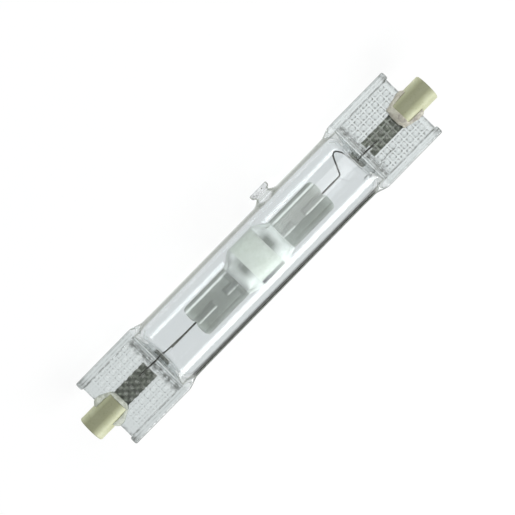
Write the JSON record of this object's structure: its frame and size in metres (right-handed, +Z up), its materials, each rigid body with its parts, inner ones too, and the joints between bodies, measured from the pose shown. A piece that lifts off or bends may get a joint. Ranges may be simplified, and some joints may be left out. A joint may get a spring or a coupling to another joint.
{
  "type": "double-ended metal halide lamp",
  "caption": "Double-ended metal halide lamp: an arc tube hung inside a clear quartz bulb that is pinched flat at both ends, with round ceramic end caps.",
  "frame": {"origin": "the light centre, on the lamp axis midway between the two end contacts", "axes": "+X along the lamp axis, towards the end that has no exhaust stub; +Z up, with the lamp lying as it comes to rest, on the bulb's lowest line and on the rim of the exhaust stub, which points towards -Y and down"},
  "size_m": [0.1354, 0.0238, 0.0216],
  "materials": {
    "clear_quartz": "clear and glossy",
    "frosted_quartz": "sandblasted, milky",
    "steatite_cap": "unglazed, matt",
    "cap_cement": "matt, slightly translucent",
    "nickel_contact": "dull nickel",
    "molybdenum_foil": "dull grey foil",
    "molybdenum_wire": "drawn wire",
    "tungsten": "drawn wire, dark grey",
    "white_end_coat": "matt white",
    "mercury": "liquid metal",
    "halide_salt": "crusted salt"
  },
  "bodies": {
    "root": {"outer_bulb": "clear_quartz", "arc_tube": "frosted_quartz", "mercury_bead": "mercury", "halide_salt": "halide_salt", "end_cap_left": "steatite_cap", "end_cap_right": "steatite_cap", "cap_cement_left": "cap_cement", "cap_cement_right": "cap_cement", "contact_left": "nickel_contact", "contact_right": "nickel_contact", "outer_foil_left": "molybdenum_foil", "outer_foil_right": "molybdenum_foil", "outer_lead_left": "molybdenum_wire", "outer_lead_right": "molybdenum_wire", "inner_lead_left": "molybdenum_wire", "inner_lead_right": "molybdenum_wire", "arc_foil_left": "molybdenum_foil", "arc_foil_right": "molybdenum_foil", "arc_lead_left": "molybdenum_wire", "arc_lead_right": "molybdenum_wire", "electrode_rod_left": "tungsten", "electrode_rod_right": "tungsten", "electrode_coil_left": "tungsten", "electrode_coil_right": "tungsten", "end_coat_left": "white_end_coat", "end_coat_right": "white_end_coat"}
  },
  "joints": []
}
